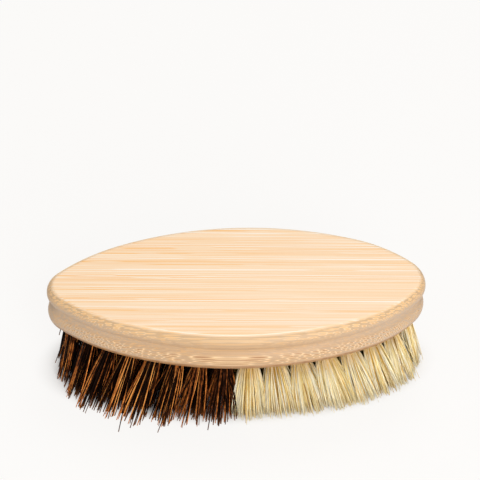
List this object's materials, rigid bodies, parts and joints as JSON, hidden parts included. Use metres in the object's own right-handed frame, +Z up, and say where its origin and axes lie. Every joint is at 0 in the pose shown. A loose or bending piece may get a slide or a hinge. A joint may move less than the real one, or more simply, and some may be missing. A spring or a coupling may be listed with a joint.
{
  "type": "palm brush",
  "caption": "Hand-sized scrubbing brush: a lens-shaped bamboo block with a grooved rim, stiff dark plant-fibre tufts on one half and softer pale ones on the other.",
  "frame": {"origin": "centre of the bounding box in plan, on the floor plane that the bristle tips stand on", "axes": "+X along the length towards the end with the pale bristles, +Y across the block towards its back long side, +Z up out of the flat top face"},
  "size_m": [0.14, 0.0621, 0.041],
  "materials": {
    "bamboo": "pale bamboo sanded smooth, matt, fine straight fibre lines along the length",
    "dark_fibre": "stiff dark brown palm fibre, slightly glossy",
    "light_fibre": "fine cream plant fibre, soft sheen",
    "steel_wire": "bright drawn wire"
  },
  "bodies": {
    "root": {"block": "bamboo", "dark_tuft_01": "dark_fibre", "dark_tuft_02": "dark_fibre", "dark_tuft_03": "dark_fibre", "dark_tuft_04": "dark_fibre", "dark_tuft_05": "dark_fibre", "dark_tuft_06": "dark_fibre", "dark_tuft_07": "dark_fibre", "dark_tuft_08": "dark_fibre", "dark_tuft_09": "dark_fibre", "dark_tuft_10": "dark_fibre", "dark_tuft_11": "dark_fibre", "dark_tuft_12": "dark_fibre", "dark_tuft_13": "dark_fibre", "dark_tuft_14": "dark_fibre", "dark_tuft_15": "dark_fibre", "dark_tuft_16": "dark_fibre", "dark_tuft_17": "dark_fibre", "dark_tuft_18": "dark_fibre", "dark_tuft_19": "dark_fibre", "dark_tuft_20": "dark_fibre", "dark_tuft_21": "dark_fibre", "dark_tuft_22": "dark_fibre", "dark_tuft_23": "dark_fibre", "dark_tuft_24": "dark_fibre", "dark_tuft_25": "dark_fibre", "dark_tuft_26": "dark_fibre", "dark_tuft_27": "dark_fibre", "dark_tuft_28": "dark_fibre", "dark_tuft_29": "dark_fibre", "light_tuft_01": "light_fibre", "light_tuft_02": "light_fibre", "light_tuft_03": "light_fibre", "light_tuft_04": "light_fibre", "light_tuft_05": "light_fibre", "light_tuft_06": "light_fibre", "light_tuft_07": "light_fibre", "light_tuft_08": "light_fibre", "light_tuft_09": "light_fibre", "light_tuft_10": "light_fibre", "light_tuft_11": "light_fibre", "light_tuft_12": "light_fibre", "light_tuft_13": "light_fibre", "light_tuft_14": "light_fibre", "light_tuft_15": "light_fibre", "light_tuft_16": "light_fibre", "light_tuft_17": "light_fibre", "light_tuft_18": "light_fibre", "light_tuft_19": "light_fibre", "light_tuft_20": "light_fibre", "light_tuft_21": "light_fibre", "light_tuft_22": "light_fibre", "light_tuft_23": "light_fibre", "light_tuft_24": "light_fibre", "light_tuft_25": "light_fibre", "light_tuft_26": "light_fibre", "light_tuft_27": "light_fibre", "light_tuft_28": "light_fibre", "light_tuft_29": "light_fibre", "staples": "steel_wire"}
  },
  "joints": []
}
